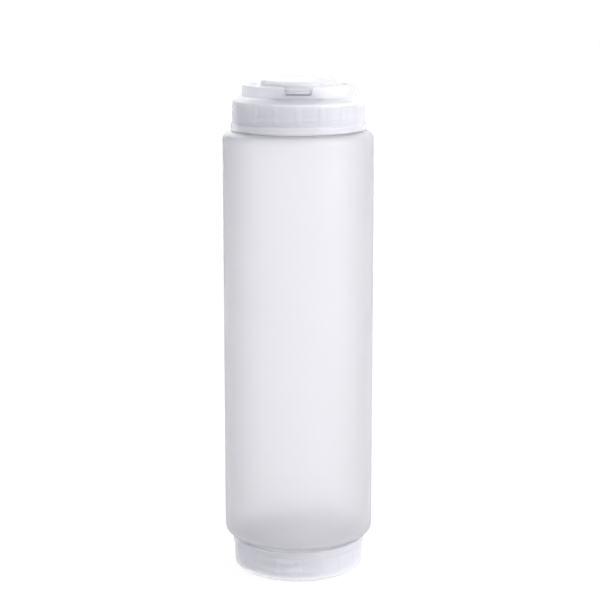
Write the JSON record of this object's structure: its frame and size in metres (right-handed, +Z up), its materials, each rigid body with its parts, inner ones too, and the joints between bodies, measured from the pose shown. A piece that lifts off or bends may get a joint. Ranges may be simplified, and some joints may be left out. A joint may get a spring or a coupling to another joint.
{
  "type": "dispensing sauce bottle with flip cap",
  "caption": "Translucent round squeeze bottle standing on a screw refill cap, with a ribbed screw dispensing cap, slit valve and hinged flip lid.",
  "frame": {"origin": "centre of the refill cap's end face, on which the bottle stands", "axes": "+Z up along the bottle towards the dispensing cap; -Y towards the front, where the lid's thumb tab is; +Y towards the lid hinge; +X to the right seen from the front"},
  "size_m": [0.07, 0.07, 0.2323],
  "materials": {
    "body_plastic": "frosted translucent squeeze plastic",
    "cap_plastic": "clear natural plastic with a soft gloss",
    "lid_plastic": "clear natural plastic with a soft gloss",
    "gasket_rubber": "smooth white seal",
    "valve_silicone": "smooth clear silicone",
    "retainer_plastic": "smooth natural plastic"
  },
  "bodies": {
    "bottle": {"bottle_body": "body_plastic"},
    "dispensing_seal": {"dispensing_gasket": "gasket_rubber"},
    "dispensing_closure": {"dispensing_cap": "cap_plastic", "dispensing_valve": "valve_silicone", "valve_retainer": "retainer_plastic"},
    "lid": {"flip_lid": "lid_plastic"},
    "refill_seal": {"refill_gasket": "gasket_rubber"},
    "refill_closure": {"refill_cap": "cap_plastic"}
  },
  "joints": [
    {"name": "dispensing_cap_rise", "type": "slide", "parent": "bottle", "child": "dispensing_seal", "axis": [0, 0, 1], "range_m": [0, 0.00635]},
    {"name": "dispensing_cap_turn", "type": "hinge", "parent": "dispensing_seal", "child": "dispensing_closure", "pos_m": [0, 0, 0.217], "axis": [0, 0, 1], "range_deg": [0, 540]},
    {"name": "lid_hinge", "type": "hinge", "parent": "dispensing_closure", "child": "lid", "pos_m": [0, 0.0225, 0.2278], "axis": [-1, 0, 0], "range_deg": [0, 150]},
    {"name": "refill_cap_rise", "type": "slide", "parent": "bottle", "child": "refill_seal", "axis": [0, 0, -1], "range_m": [0, 0.00635]},
    {"name": "refill_cap_turn", "type": "hinge", "parent": "refill_seal", "child": "refill_closure", "pos_m": [0, 0, 0.008], "axis": [0, 0, -1], "range_deg": [0, 540]}
  ],
  "couplings": [
    {"joint": "dispensing_cap_rise", "follows": "dispensing_cap_turn", "m_per_rad": 0.00067322},
    {"joint": "refill_cap_rise", "follows": "refill_cap_turn", "m_per_rad": 0.00067322}
  ]
}
